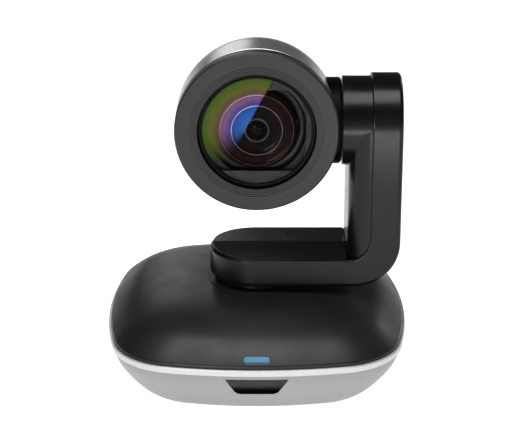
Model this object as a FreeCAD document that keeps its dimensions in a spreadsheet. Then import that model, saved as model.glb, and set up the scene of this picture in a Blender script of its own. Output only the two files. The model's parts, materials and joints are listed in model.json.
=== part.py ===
import FreeCAD, Part
import math
import os
import re
import Sketcher

# Desktop pan-tilt-zoom conference camera, in millimetres.
# Frame: +Z up, origin under the middle of the base, on the surface that the feet stand on.
# The pan axis is Z. The tilt axis runs along X through the head. The lens looks along -Y.

SIZES = (
    # base plan: a square whose sides and corners are arcs that meet tangentially
    ("base_half", 65.0, "half the width of the base"),
    ("side_radius", 190.0, "radius of each bowed side"),
    ("corner_radius", 30.0, "radius of each rounded corner"),
    ("wall_thick", 2.2, "moulded wall of the base"),
    ("wall_scale", 0.036, "the same wall as a share of the plan"),
    ("floor_height", 1.5, "underside of the bowl above the table"),
    ("bowl_top", 21.6, "upper edge of the silver bowl"),
    ("trim_low", 21.8, "lower edge of the bright rim"),
    ("trim_high", 24.6, "upper edge of the bright rim"),
    ("trim_bevel", 0.4, "bevel under the rim"),
    ("trim_round", 0.45, "rounding of the rim's upper edge"),
    ("lip_width", 0.9, "width of the rim where it stands round the cover"),
    ("cover_half", 63.95, "half the width of the dark cover"),
    ("cover_low", 23.6, "lower edge of the dark cover"),
    ("cover_edge", 26.0, "height where the cover turns inward"),
    ("cover_round", 1.3, "rounding of the cover's edge"),
    ("cover_hole", 8.7, "radius of the hole for the pan shaft"),
    ("plateau_radius", 21.5, "flat land under the arm"),
    ("plateau_top", 40.4, "top of that land"),
    # front details of the base
    ("led_half", 5.3, "half the length of the status light"),
    ("led_deep", 1.4, "half the depth of the status light"),
    ("led_corner", 0.8, "corner radius of the status light"),
    ("led_reach", 62.0, "distance of the light from the pan axis"),
    ("led_low", 22.2, "bottom of the light pipe"),
    ("seam_gap", 0.15, "assembly gap round set-in pieces"),
    ("window_top_half", 12.9, "half the upper width of the infra-red window"),
    ("window_low_half", 8.0, "half the lower width of the infra-red window"),
    ("window_low", 11.5, "lower edge of the window"),
    ("window_high", 19.9, "upper edge of the window"),
    ("window_round", 2.6, "lower corner radius of the window"),
    ("window_arc", 3.51, "radius of the arcs in those corners"),
    ("receiver_half", 3.0, "half the width of the infra-red receiver"),
    ("receiver_reach", 53.5, "front of the receiver from the pan axis"),
    ("receiver_depth", 4.0, "depth of the receiver"),
    ("receiver_lens", 2.2, "radius of the receiver's lens"),
    ("receiver_proud", 1.6, "how far that lens stands out"),
    ("board_stand", 2.0, "height of the main board above the ballast"),
    ("main_half", 40.0, "half the width of the main board"),
    ("main_front", 46.0, "front edge of the main board"),
    ("main_rear", 19.0, "rear edge of the main board"),
    # rear socket bay
    ("bay_half", 30.0, "half the width of the socket bay"),
    ("bay_low", 7.6, "bottom of the bay"),
    ("bay_high", 19.2, "top of the bay"),
    ("bay_wall", 1.2, "wall of the bay tray"),
    ("bay_back", 54.0, "inner side of the tray's back wall"),
    ("socket_pitch", 18.0, "spacing of the three sockets"),
    ("socket_depth", 9.0, "depth of each socket behind the bay"),
    ("socket_low", 9.1, "bottom of each socket"),
    ("socket_high", 17.9, "top of each socket"),
    ("socket_stand", 1.8, "how far each socket stands into the bay"),
    ("jack_half", 4.5, "half the width of the power jack"),
    ("jack_radius", 2.9, "bore of the power jack"),
    ("jack_pin", 1.0, "centre pin of the power jack"),
    ("usb_half", 6.0, "half the width of the USB socket"),
    ("usb_open", 4.2, "half the opening of the USB socket"),
    ("usb_tongue", 1.4, "half the thickness of the contact tongue"),
    ("din_half", 6.5, "half the width of the control socket"),
    ("din_radius", 4.0, "bore of the control socket"),
    ("din_key", 2.6, "radius of the contact core in the control socket"),
    # underside
    ("foot_radius", 6.0, "rubber foot"),
    ("foot_offset", 32.0, "foot centre along X and along Y"),
    ("insert_radius", 6.0, "outside of the tripod insert"),
    ("insert_bore", 3.175, "wall radius of the quarter-inch thread"),
    ("insert_depth", 8.5, "depth of the thread"),
    ("insert_top", 11.5, "top of the insert"),
    ("ballast_scale", 0.70, "ballast plate as a share of the plan"),
    ("ballast_low", 3.9, "underside of the ballast plate"),
    ("ballast_high", 6.9, "top of the ballast plate"),
    ("lock_half", 3.5, "half the length of the lock slot"),
    ("lock_rise", 1.6, "half the height of the lock slot"),
    ("lock_height", 13.5, "height of the lock slot"),
    ("lock_plate", 6.0, "half the size of the steel plate behind it"),
    ("lock_plate_low", 53.6, "inner side of that plate"),
    # screws
    ("screw_head", 2.8, "screw head radius"),
    ("screw_shank", 1.4, "screw shank radius"),
    ("screw_cap", 1.5, "height of a screw head"),
    ("screw_length", 11.0, "length under the head"),
    # pan drive
    ("gear_module", 0.5, "tooth module"),
    ("pan_teeth", 64.0, "teeth of the pan gear"),
    ("pinion_teeth", 16.0, "teeth of both pinions"),
    ("pan_gear_low", 26.3, "underside of the pan gear"),
    ("gear_thick", 3.0, "thickness of the gears"),
    ("frame_half", 25.0, "half the width of the pan frame"),
    ("frame_front", -16.0, "front edge of the pan frame"),
    ("frame_back", 32.0, "rear edge of the pan frame"),
    ("post_x", 21.0, "post centres along X"),
    ("post_front", -12.0, "front post centres"),
    ("post_back", 28.0, "rear post centres"),
    ("post_radius", 3.2, "post radius"),
    ("motor_plate_low", 22.5, "underside of the lower plate"),
    ("plate_thick", 2.0, "thickness of both plates"),
    ("bearing_plate_low", 30.5, "underside of the upper plate"),
    ("bearing_radius", 12.0, "outside of the pan bearing"),
    ("bearing_low", 32.0, "underside of the pan bearing"),
    ("bearing_high", 37.0, "top of the pan bearing"),
    ("seat_wall", 2.0, "wall round the pan bearing"),
    ("bush_radius", 10.0, "outside of the pan bush"),
    ("shaft_radius", 7.5, "pan shaft"),
    ("shaft_bore", 5.0, "cable way through the pan shaft"),
    ("shaft_low", 21.5, "lower end of the pan shaft"),
    ("flange_radius", 14.0, "pan shaft flange inside the arm"),
    ("flange_thick", 2.0, "thickness of that flange"),
    ("running_gap", 0.05, "radial clearance of each turning fit"),
    ("motor_radius", 9.5, "pan motor body"),
    ("motor_low", 10.0, "underside of the pan motor"),
    ("spindle_radius", 1.0, "motor spindles"),
    ("spindle_proud", 0.6, "end of a spindle beyond its pinion"),
    ("spindle_sunk", 5.0, "length of the tilt spindle inside its motor"),
    ("spindle_hole", 6.0, "depth of the spindle's hole in the tilt motor"),
    # arm
    ("arm_half", 20.4, "half the width of the arm and its end radius"),
    ("arm_low", 42.8, "underside of the arm"),
    ("arm_deck", 54.6, "top of the lower arm"),
    ("arm_outer", 61.1, "outer face of the upright"),
    ("arm_inner", 48.2, "inner edge of the band along the upright"),
    ("arm_bend", 19.6, "outer bend of the band"),
    ("arm_crook", 10.4, "inner bend of the band"),
    ("arm_wall", 1.8, "wall of the band"),
    ("arm_edge", 1.8, "rounding of the band's outer edges"),
    ("arm_inner_edge", 0.7, "rounding of the band's inner edges"),
    ("deck_thick", 1.6, "thickness of the deck plate"),
    ("deck_ridge", 1.7, "height of the ridge along the deck"),
    ("deck_rear", 0.8, "rise of the deck's rear edge"),
    ("deck_half", 19.0, "half the width of the deck plate"),
    ("deck_end", 38.4, "where the deck plate stops at the upright"),
    ("collar_radius", 18.6, "collar under the arm"),
    ("collar_low", 40.8, "underside of the collar"),
    ("collar_bevel", 0.6, "bevel on the collar"),
    ("upright_face", 38.75, "face of the upright that the head turns beside"),
    ("upright_half", 19.6, "half the depth of the upright cover"),
    ("upright_round", 9.0, "front edge rounding of the upright cover"),
    ("upright_ease", 3.0, "rear edge rounding of the upright cover"),
    ("upright_wall", 1.8, "wall of the upright cover"),
    ("boss_face", 36.1, "face of the round boss"),
    ("boss_radius", 19.0, "boss round the tilt axis"),
    # tilt drive
    ("tilt_height", 111.5, "height of the tilt axis"),
    ("tilt_teeth", 56.0, "teeth of the tilt gear"),
    ("tilt_gear_low", 52.5, "inner side of the tilt gear"),
    ("tilt_shaft", 4.0, "tilt shaft radius"),
    ("tilt_shaft_low", 28.5, "inner end of the tilt shaft"),
    ("tilt_shaft_high", 57.0, "outer end of the tilt shaft"),
    ("tilt_bearing", 8.0, "outside of the tilt bearing"),
    ("bracket_low", 49.6, "inner side of the tilt bracket"),
    ("bracket_thick", 1.8, "thickness of the tilt bracket"),
    ("bracket_half", 15.0, "half the width of the tilt bracket"),
    ("bracket_foot", 78.0, "lower edge of the tilt bracket"),
    ("bracket_head", 122.0, "upper edge of the tilt bracket"),
    ("bracket_screw_low", 81.8, "height of the lower bracket screws"),
    ("bracket_screw_high", 97.0, "height of the upper bracket screws"),
    ("bracket_screw_side", 11.2, "sideways place of the bracket screws"),
    ("tilt_motor", 9.0, "tilt motor body radius"),
    ("tilt_motor_low", 41.2, "inner end of the tilt motor"),
    ("arm_board_low", 62.0, "lower edge of the motor driver board"),
    ("arm_board_high", 78.0, "upper edge of the motor driver board"),
    # head: radii about the lens axis, distances forward of the tilt axis
    ("head_radius", 34.5, "head barrel"),
    ("head_sweep", 48.6, "radius of the barrel's inward sweep"),
    ("head_sweep_start", -0.7, "where the sweep begins"),
    ("head_wall", 2.0, "wall of the barrel"),
    ("bezel_front", 18.0, "front face of the bezel"),
    ("bezel_back", 12.4, "rear face of the bezel"),
    ("bezel_bevel", 0.7, "bevel on the bezel's rim"),
    ("bezel_flat", 28.8, "inner radius of the flat face"),
    ("ridge_count", 4.0, "fine grooves inside the face"),
    ("ridge_width", 0.85, "spacing of the grooves"),
    ("groove_width", 0.35, "width of each groove"),
    ("groove_deep", 0.45, "depth of each groove"),
    ("shell_front", 12.0, "front edge of the barrel"),
    ("shell_bevel", 0.35, "bevel on the barrel's front edge"),
    ("shell_back", -20.0, "where the barrel ends and the rear cap begins"),
    ("cap_back", -37.0, "rear face of the cap"),
    ("glass_radius", 25.6, "front glass"),
    ("glass_back", 15.8, "rear side of the glass"),
    ("glass_thick", 1.4, "thickness of the glass"),
    ("baffle_radius", 25.3, "baffle behind the glass"),
    ("baffle_back", 12.2, "rear side of the baffle"),
    ("baffle_front", 15.2, "front side of the baffle"),
    ("baffle_wide", 20.6, "half the width of its opening"),
    ("baffle_high", 17.6, "half the height of its opening"),
    ("baffle_corner", 7.0, "corner radius of its opening"),
    ("hub_radius", 18.4, "tilt hub"),
    ("hub_low", 28.0, "inner end of the tilt hub"),
    ("hub_high", 35.6, "outer face of the tilt hub"),
    ("hub_bevel", 0.8, "bevel on the hub"),
    # zoom lens, same directions
    ("housing_radius", 23.5, "outside of the lens housing"),
    ("housing_bore", 21.0, "inside of the lens housing"),
    ("housing_front", 12.0, "front end of the housing"),
    ("housing_back", -25.0, "rear end of the housing"),
    ("front_lens_bulge", 2.2, "how far the front lens bows forward"),
    ("front_lens_back", 4.0, "rear side of the front lens"),
    ("front_lens_rim", 5.0, "thickness of the front lens at its flange"),
    ("front_lens_step", 4.0, "height of its front part above the flange"),
    ("front_lens_radius", 17.0, "radius of its front part"),
    ("rod_offset", 17.0, "guide rods from the lens axis"),
    ("rod_radius", 1.0, "guide rods"),
    ("zoom_radius", 12.0, "zoom carriage ring"),
    ("zoom_lens", 10.0, "zoom lens radius"),
    ("zoom_front", -1.2, "front of the zoom carriage at rest"),
    ("zoom_thick", 4.8, "thickness of the zoom carriage"),
    ("focus_radius", 10.5, "focus carriage ring"),
    ("focus_lens", 8.0, "focus lens radius"),
    ("element_bow", 1.0, "how far the inner lenses bow"),
    ("focus_front", -18.6, "front of the focus carriage at rest"),
    ("focus_thick", 3.4, "thickness of the focus carriage"),
    ("ear_half", 2.4, "half the width of the carriage ears"),
    ("ear_reach", 19.4, "reach of the carriage ears"),
    ("screw_offset", 12.0, "lead screws: sideways and down from the lens axis"),
    ("screw_end", 0.6, "gap beyond the free end of a lead screw"),
    ("focus_reach", 4.0, "focus motor ahead of its carriage"),
    ("lead_radius", 1.2, "lead screws"),
    ("lens_motor", 3.0, "zoom and focus motor radius"),
    ("lens_motor_long", 7.0, "length of those motors"),
    ("sensor_half", 7.0, "half the size of the image sensor"),
    ("sensor_front", -25.4, "front of the image sensor"),
    ("sensor_thick", 1.2, "thickness of the image sensor"),
    ("board_front", -26.6, "front of the sensor board"),
    ("board_half", 15.0, "half the size of the sensor board"),
    ("board_thick", 1.6, "thickness of the circuit boards"),
)

# Section heights: (share of the plan, height or offset alias) from the table up.
BOWL_OUTER = (
    ("0.780", "floor_height"),
    ("0.842", "5.4"),
    ("0.902", "10.4"),
    ("0.952", "15.4"),
    ("0.985", "bowl_top"),
)
DOME = (
    ("cover_half / base_half", "0"),
    ("0.95", "2.1"),
    ("0.91", "4.3"),
    ("0.85", "7.1"),
    ("0.76", "9.9"),
    ("0.64", "12.2"),
    ("0.50", "13.5"),
    ("0.36", "14.1"),
    ("0.30", "14.2"),
)
BOARD_PARTS = (
    (-28, -34, 7, 1.8),
    (-6, -34, 9, 2.6),
    (16, -36, 5, 1.4),
    (30, -28, 4, 3.2),
    (6, -24, 3, 1.6),
)

ALIAS = re.compile(r"\b([a-z]+(?:_[a-z]+)+)\b")
TURNS = {
    "Z": FreeCAD.Rotation(),
    "X": FreeCAD.Rotation(FreeCAD.Vector(0, 1, 0), 90),
    "Y": FreeCAD.Rotation(FreeCAD.Vector(1, 0, 0), -90),
    "forward": FreeCAD.Rotation(FreeCAD.Vector(1, 0, 0), 90),
}

doc = FreeCAD.newDocument("PtzCamera")
sheet = doc.addObject("Spreadsheet::Sheet", "Sizes")
for line, (alias, size, meaning) in enumerate(SIZES, 1):
    sheet.set(f"A{line}", alias)
    sheet.set(f"B{line}", str(size))
    sheet.set(f"C{line}", meaning)
    sheet.setAlias(f"B{line}", alias)
doc.recompute()

nodes = []


# ---------------------------------------------------------------- expressions and placing

def full(text):
    """An expression with every alias given its sheet."""
    return ALIAS.sub(r"Sizes.\1", text)


def number(text):
    """The present value of an expression."""
    return float(sheet.evalExpression(full(text)))


def bind(item, prop, text):
    item.setExpression(prop, full(text))


def place(item, x="0", y="0", z="0", axis="Z"):
    """Turn an item so that its own Z points along axis, and bind where its origin goes."""
    item.Placement = FreeCAD.Placement(FreeCAD.Vector(), TURNS[axis])
    for letter, text in zip("xyz", (x, y, z)):
        bind(item, f"Placement.Base.{letter}", text)
    return item


def node(item):
    """Count an item as one of the finished sub-parts."""
    nodes.append(item)
    return item


# ---------------------------------------------------------------- primitives and booleans

def cylinder(name, radius, height, x="0", y="0", z="0", axis="Z"):
    item = doc.addObject("Part::Cylinder", name)
    bind(item, "Radius", radius)
    bind(item, "Height", height)
    return place(item, x, y, z, axis)


def block(name, x, y, z):
    """A box between a low and a high value along each axis."""
    item = doc.addObject("Part::Box", name)
    for prop, (low, high) in zip(("Length", "Width", "Height"), (x, y, z)):
        bind(item, prop, f"({high}) - ({low})")
    return place(item, x[0], y[0], z[0])


def fuse(name, *items):
    item = doc.addObject("Part::MultiFuse", name)
    item.Shapes = items
    return item


def common(name, *items):
    item = doc.addObject("Part::MultiCommon", name)
    item.Shapes = items
    return item


def cut(name, base, *tools):
    item = doc.addObject("Part::Cut", name)
    item.Base = base
    item.Tool = tools[0] if len(tools) == 1 else fuse(f"{name}_tools", *tools)
    return item


def group(name, *items):
    """Separate solids that share one node."""
    item = doc.addObject("Part::Compound", name)
    item.Links = items
    return item


def ring(name, outer, inner, height, x="0", y="0", z="0", axis="Z"):
    disc = cylinder(f"{name}_disc", outer, height, x, y, z, axis)
    hole = cylinder(f"{name}_hole", inner, height, x, y, z, axis)
    return cut(name, disc, hole)


def rounded(name, base, radius, choose):
    """Round the edges of base that choose picks."""
    doc.recompute()
    item = doc.addObject("Part::Fillet", name)
    item.Base = base
    size = number(radius)
    item.Edges = [(i, size, size) for i, edge in enumerate(base.Shape.Edges, 1) if choose(edge)]
    return item


# ---------------------------------------------------------------- sketches

def origin_plane(body, role):
    return next(item for item in body.Origin.OriginFeatures if item.Role == role)


def arc_between(start, end, radius, turn):
    """Arc from start to end that bends left (turn 1) or right (turn -1)."""
    chord = end - start
    middle = (start + end) * 0.5
    side = FreeCAD.Vector(-chord.y, chord.x, 0).normalize() * turn
    centre = middle + side * math.sqrt(radius ** 2 - (chord.Length / 2) ** 2)
    first, last = (start, end) if turn > 0 else (end, start)
    angles = [math.atan2(point.y - centre.y, point.x - centre.x) for point in (first, last)]
    if angles[1] < angles[0]:
        angles[1] += 2 * math.pi
    return Part.ArcOfCircle(Part.Circle(centre, FreeCAD.Vector(0, 0, 1), radius), *angles)


def outline(sketch, corners):
    """Closed outline. A corner (x, y) starts a straight edge, (x, y, radius, turn) starts an arc."""
    points = [FreeCAD.Vector(number(corner[0]), number(corner[1]), 0) for corner in corners]
    ends = []
    for corner, start, end in zip(corners, points, points[1:] + points[:1]):
        if len(corner) == 2:
            edge = sketch.addGeometry(Part.LineSegment(start, end), False)
            ends.append((edge, 1, 2))
            continue
        radius, turn = corner[2:]
        edge = sketch.addGeometry(arc_between(start, end, number(radius), turn), False)
        index = sketch.addConstraint(Sketcher.Constraint("Radius", edge, number(radius)))
        bind(sketch, f"Constraints[{index}]", radius)
        ends.append((edge, 1, 2) if turn > 0 else (edge, 2, 1))
    for (edge, first, last), (after, start, end) in zip(ends, ends[1:] + ends[:1]):
        sketch.addConstraint(Sketcher.Constraint("Coincident", edge, last, after, start))
    for corner, point, (edge, first, last) in zip(corners, points, ends):
        across = ("DistanceX", corner[0], point.x, -2)
        upward = ("DistanceY", corner[1], point.y, -1)
        for kind, text, value, axis in (across, upward):
            if text == "0":
                sketch.addConstraint(Sketcher.Constraint("PointOnObject", edge, first, axis))
                continue
            index = sketch.addConstraint(Sketcher.Constraint(kind, -1, 1, edge, first, value))
            bind(sketch, f"Constraints[{index}]", text)


def sketch_in(body, name, role, *outlines):
    sketch = body.newObject("Sketcher::SketchObject", name)
    sketch.AttachmentSupport = (origin_plane(body, role), [""])
    sketch.MapMode = "FlatFace"
    for corners in outlines:
        outline(sketch, corners)
    return sketch


def turned(name, corners, x="0", y="0", z="0", axis="Z"):
    """A body of revolution: corners are (radius, distance along axis)."""
    body = doc.addObject("PartDesign::Body", name)
    sketch = sketch_in(body, f"{name}_profile", "XZ_Plane", corners)
    feature = body.newObject("PartDesign::Revolution", f"{name}_revolution")
    feature.Profile = sketch
    feature.ReferenceAxis = (sketch, ["V_Axis"])
    feature.Angle = 360.0
    body.Tip = feature
    return place(body, x, y, z, axis)


def padded(name, role, length, *outlines, symmetric=False, x="0", y="0", z="0", axis="Z"):
    """A body padded from outlines in one of its own planes."""
    body = doc.addObject("PartDesign::Body", name)
    sketch = sketch_in(body, f"{name}_sketch", role, *outlines)
    feature = body.newObject("PartDesign::Pad", f"{name}_pad")
    feature.Profile = sketch
    feature.Midplane = symmetric
    bind(feature, "Length", length)
    body.Tip = feature
    return place(body, x, y, z, axis)


# ---------------------------------------------------------------- plan sections of the base

CORNER_OFFSET = (
    "(base_half - side_radius"
    " + sqrt(2 * (side_radius - corner_radius)^2 - (side_radius - base_half)^2)) / 2"
)


def section(name, share, height):
    """The base plan at one height, scaled to a share of its full size."""
    sketch = doc.addObject("Sketcher::SketchObject", name)
    half, side, corner, offset = (
        number(f"({text}) * ({share})") for text in (
            "base_half",
            "side_radius",
            "corner_radius",
            CORNER_OFFSET,
        )
    )
    up = FreeCAD.Vector(0, 0, 1)
    swing = math.atan2(offset, offset - half + side)
    for quarter in range(4):
        turn = math.pi / 2 * quarter
        spin = FreeCAD.Rotation(up, 90 * quarter)
        bowed = Part.Circle(spin.multVec(FreeCAD.Vector(half - side, 0, 0)), up, side)
        rounding = Part.Circle(spin.multVec(FreeCAD.Vector(offset, offset, 0)), up, corner)
        sketch.addGeometry(Part.ArcOfCircle(bowed, turn - swing, turn + swing), False)
        sketch.addGeometry(Part.ArcOfCircle(rounding, turn + swing, turn + math.pi / 2 - swing), False)
    for edge in range(8):
        sketch.addConstraint(Sketcher.Constraint("Tangent", edge, 2, (edge + 1) % 8, 1))
    for edge in (2, 4, 6):
        sketch.addConstraint(Sketcher.Constraint("Equal", 0, edge))
        sketch.addConstraint(Sketcher.Constraint("Equal", 1, edge + 1))
    for edge, axis in ((0, -1), (2, -2), (4, -1)):
        sketch.addConstraint(Sketcher.Constraint("PointOnObject", edge, 3, axis))
    for kind, place_of, value, text in (
        ("Radius", (0,), side, "side_radius"),
        ("Radius", (1,), corner, "corner_radius"),
        ("DistanceX", (-1, 1, 1, 3), offset, CORNER_OFFSET),
        ("DistanceY", (-1, 1, 1, 3), offset, CORNER_OFFSET),
    ):
        index = sketch.addConstraint(Sketcher.Constraint(kind, *place_of, value))
        bind(sketch, f"Constraints[{index}]", f"({text}) * ({share})")
    bind(sketch, "Placement.Base.z", height)
    return sketch


def loft(name, levels, ruled=False):
    item = doc.addObject("Part::Loft", name)
    item.Sections = [section(f"{name}_{i}", share, height) for i, (share, height) in enumerate(levels)]
    item.Solid = True
    item.Ruled = ruled
    return item


# ---------------------------------------------------------------- gears

ADDENDUM = 0.9
DEDENDUM = 1.25
PRESSURE_ANGLE = 20
BACKLASH = 0.09


def gear_wire(teeth):
    """Involute teeth, a little thin for backlash, first tooth on +X."""
    module = number("gear_module")
    pressure = math.radians(PRESSURE_ANGLE)
    pitch, tip, root = (teeth * module / 2 + share * module for share in (0, ADDENDUM, -DEDENDUM))
    base = pitch * math.cos(pressure)
    half_pitch = math.pi / 2 / teeth - BACKLASH / 2 / pitch

    def half_angle(radius):
        roll = math.acos(min(1.0, base / radius))
        return half_pitch + math.tan(pressure) - pressure - (math.tan(roll) - roll)

    def at(radius, angle):
        return FreeCAD.Vector(radius * math.cos(angle), radius * math.sin(angle), 0)

    start = max(base, root)
    radii = [start + (tip - start) * step / 4 for step in range(5)]
    edges = []
    for tooth in range(teeth):
        centre = 2 * math.pi * tooth / teeth
        rising = [at(radius, centre - half_angle(radius)) for radius in radii]
        falling = [at(radius, centre + half_angle(radius)) for radius in reversed(radii)]
        foot_in = at(root, centre - half_angle(start))
        foot_out = at(root, centre + half_angle(start))
        if start > root:
            edges.append(Part.LineSegment(foot_in, rising[0]))
        for points in (rising, falling):
            curve = Part.BSplineCurve()
            curve.interpolate(points)
            edges.append(curve)
            if points is rising:
                edges.append(Part.Arc(rising[-1], at(tip, centre), falling[0]))
        if start > root:
            edges.append(Part.LineSegment(falling[-1], foot_out))
        gap = math.pi / teeth
        edges.append(Part.Arc(
            foot_out,
            at(root, centre + gap),
            at(root, centre + 2 * gap - half_angle(start)),
        ))
    return Part.Wire([edge.toShape() for edge in edges])


def gear(name, teeth, thick, bore, spin, x="0", y="0", z="0", axis="Z", spindle=None):
    """A gear. Its bore stays open, or it carries a spindle of (low, high) along its axis."""
    shape = Part.Face(gear_wire(round(number(teeth)))).extrude(FreeCAD.Vector(0, 0, number(thick)))
    shape.rotate(FreeCAD.Vector(), FreeCAD.Vector(0, 0, 1), spin)
    if spindle:
        low, high = (number(text) for text in spindle)
        rod = Part.makeCylinder(number(bore), high - low, FreeCAD.Vector(0, 0, low))
        shape = shape.fuse(rod).removeSplitter()
    else:
        shape = shape.cut(Part.makeCylinder(number(bore), number(thick)))
    item = doc.addObject("Part::Feature", name)
    item.Shape = shape
    return place(item, x, y, z, axis)


# ---------------------------------------------------------------- base

def slot_prism(name, gap):
    """Upright prism through the status light's slot."""
    corners = rounded_rectangle(f"led_half + {gap}", f"led_deep + {gap}", "led_corner")
    return padded(name, "XY_Plane", "plateau_top - led_low", corners, y="-led_reach", z="led_low")


def window_prism(name, gap):
    """Prism from the pan axis out through the front wall, in the window's outline."""
    top = f"window_top_half + {gap}"
    low = f"window_low_half + {gap}"
    slant = "(window_top_half - window_low_half) / (window_high - window_low)"
    corners = (
        (f"-({top})", f"window_high + {gap}"),
        (f"-({low}) - window_round * ({slant})", f"window_low - {gap} + window_round", "window_arc", 1),
        (f"-({low}) + window_round", f"window_low - {gap}"),
        (f"{low} - window_round", f"window_low - {gap}", "window_arc", 1),
        (f"{low} + window_round * ({slant})", f"window_low - {gap} + window_round"),
        (top, f"window_high + {gap}"),
    )
    return padded(name, "XZ_Plane", "base_half + wall_thick", corners)


def base_bowl():
    outer = loft("bowl_outer", BOWL_OUTER)
    inner_levels = [(f"{share} - wall_scale", height) for share, height in BOWL_OUTER[1:]]
    inner_levels.insert(0, ("0.762 - wall_scale", "floor_height + wall_thick"))
    inner = loft("bowl_inner", inner_levels)
    shell = cut("bowl_shell", outer, inner)
    bay = block(
        "bowl_bay_opening",
        ("-bay_half", "bay_half"),
        ("bay_back", "base_half + wall_thick"),
        ("bay_low", "bay_high"),
    )
    lock = block(
        "bowl_lock_slot",
        ("bay_half + 2 * lock_half", "base_half + wall_thick"),
        ("-lock_half", "lock_half"),
        ("lock_height - lock_rise", "lock_height + lock_rise"),
    )
    thread = cylinder("bowl_insert_hole", "insert_radius", "2 * wall_thick", z="0")
    sunk = []
    for i, (x, y) in enumerate(post_places()):
        sunk.append(cylinder(
            f"bowl_screw_sink{i}",
            "screw_head + seam_gap",
            "screw_cap + seam_gap",
            x,
            y,
            "floor_height",
        ))
        sunk.append(cylinder(
            f"bowl_screw_hole{i}",
            "screw_shank + seam_gap",
            "2 * wall_thick",
            x,
            y,
            "0",
        ))
    node(cut(
        "base_bowl",
        shell,
        window_prism("bowl_window_opening", "seam_gap"),
        bay,
        lock,
        thread,
        *sunk,
    ))
    node(common("ir_window", shell, window_prism("ir_window_prism", "0")))
    return outer


def post_places():
    return [(f"{sign}post_x", y) for y in ("post_front", "post_back") for sign in ("-", "")]


def rim_trim():
    """Bright ring on the bowl's edge. Its upper part is a thin lip round the dark cover."""
    levels = (
        ("1 - trim_bevel / base_half", "trim_low"),
        ("1", "trim_low + trim_bevel"),
        ("1", "trim_high"),
    )
    outer = loft("rim_outer", levels, ruled=True)
    top = number("trim_high")
    soft = rounded("rim_soft", outer, "trim_round", lambda edge: edge.BoundBox.ZMin > top - 0.01)
    seat = "1 - 1.4 * wall_scale"
    lip = "1 - lip_width / base_half"
    low = loft("rim_seat", ((seat, "trim_low"), (seat, "cover_low")), ruled=True)
    high = loft("rim_lip", ((lip, "cover_low"), (lip, "trim_high")), ruled=True)
    node(cut("rim_trim", soft, low, high))


def top_cover():
    edge = "cover_half / base_half"
    skirt = loft("cover_skirt", ((edge, "cover_low"), (edge, "cover_edge")), ruled=True)
    dome = loft("cover_dome", [(share, f"cover_edge + {rise}") for share, rise in DOME])
    land = cylinder("cover_land", "plateau_radius", "plateau_top - cover_edge", z="cover_edge")
    solid = fuse("cover_solid", skirt, dome, land)
    edge_height = number("cover_edge")
    soft = rounded(
        "cover_soft",
        solid,
        "cover_round",
        lambda edge: abs(edge.BoundBox.ZMin - edge_height) < 0.01 and edge.BoundBox.ZLength < 0.01
        and edge.CenterOfMass.Length > number("base_half") * 0.9,
    )
    inside = [(f"{share} - wall_scale", f"cover_edge + {rise} - wall_thick") for share, rise in DOME]
    hollow = loft("cover_hollow", inside)
    mouth_share = f"{edge} - wall_scale"
    mouth = loft(
        "cover_mouth",
        ((mouth_share, "cover_low"), (mouth_share, "cover_edge - wall_thick")),
        ruled=True,
    )
    hole = cylinder("cover_shaft_hole", "cover_hole", "plateau_top", z="0")
    shell = cut("cover_shell", soft, hollow, mouth, hole)
    node(cut("top_cover", shell, slot_prism("cover_led_slot", "seam_gap")))
    node(common("status_led", soft, slot_prism("status_led_prism", "0")))


def socket_bay(outer):
    """Black tray in the rear wall, with the three sockets behind it."""
    inset = "bay_half - seam_gap"
    body = block(
        "bay_solid",
        (f"-({inset})", inset),
        ("bay_back", "base_half"),
        ("bay_low + seam_gap", "bay_high - seam_gap"),
    )
    space = block(
        "bay_space",
        (f"-({inset}) + bay_wall", f"{inset} - bay_wall"),
        ("bay_back + bay_wall", "base_half"),
        ("bay_low + seam_gap + bay_wall", "bay_high - seam_gap - bay_wall"),
    )
    sockets = {"power_jack": ("-socket_pitch", "jack_half"), "usb_socket": ("0", "usb_half")}
    sockets["control_socket"] = ("socket_pitch", "din_half")
    windows = []
    shells = {}
    face = "bay_back + bay_wall + socket_stand"
    for name, (x, half) in sockets.items():
        across = (f"{x} - {half}", f"{x} + {half}")
        upright = ("socket_low", "socket_high")
        windows.append(block(
            f"{name}_window",
            across,
            ("bay_back - 1", "bay_back + bay_wall + 1"),
            upright,
        ))
        shells[name] = block(f"{name}_body", across, ("bay_back - socket_depth", face), upright)
    tray = common("bay_flush", body, outer)
    node(cut("socket_tray", tray, space, *windows))
    middle = "(socket_low + socket_high) / 2"
    mouth = {"y": "bay_back - socket_depth + bay_wall", "z": middle, "axis": "Y"}
    depth = "socket_depth + socket_stand"
    bore = ring("power_jack_way", "jack_radius", "jack_pin", depth, x="-socket_pitch", **mouth)
    node(cut("power_jack", shells["power_jack"], bore))
    opening = block(
        "usb_opening",
        ("-usb_open", "usb_open"),
        ("bay_back - socket_depth + bay_wall", face),
        ("socket_low + bay_wall", "socket_high - bay_wall"),
    )
    tongue = block(
        "usb_tongue_block",
        ("-usb_open / 1.5", "usb_open / 1.5"),
        ("bay_back - socket_depth + bay_wall", f"{face} - bay_wall"),
        (f"{middle} - usb_tongue", f"{middle} + usb_tongue"),
    )
    node(cut("usb_socket", shells["usb_socket"], cut("usb_way", opening, tongue)))
    way = ring("control_way", "din_radius", "din_key", depth, x="socket_pitch", **mouth)
    node(cut("control_socket", shells["control_socket"], way))


def screw_up(name, x, y, z, length):
    """A screw whose head starts at z and whose shank follows upwards."""
    head = cylinder(f"{name}_head", "screw_head", "screw_cap", x, y, z)
    shank = cylinder(f"{name}_shank", "screw_shank", length, x, y, f"{z} + screw_cap")
    return fuse(name, head, shank)


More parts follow.
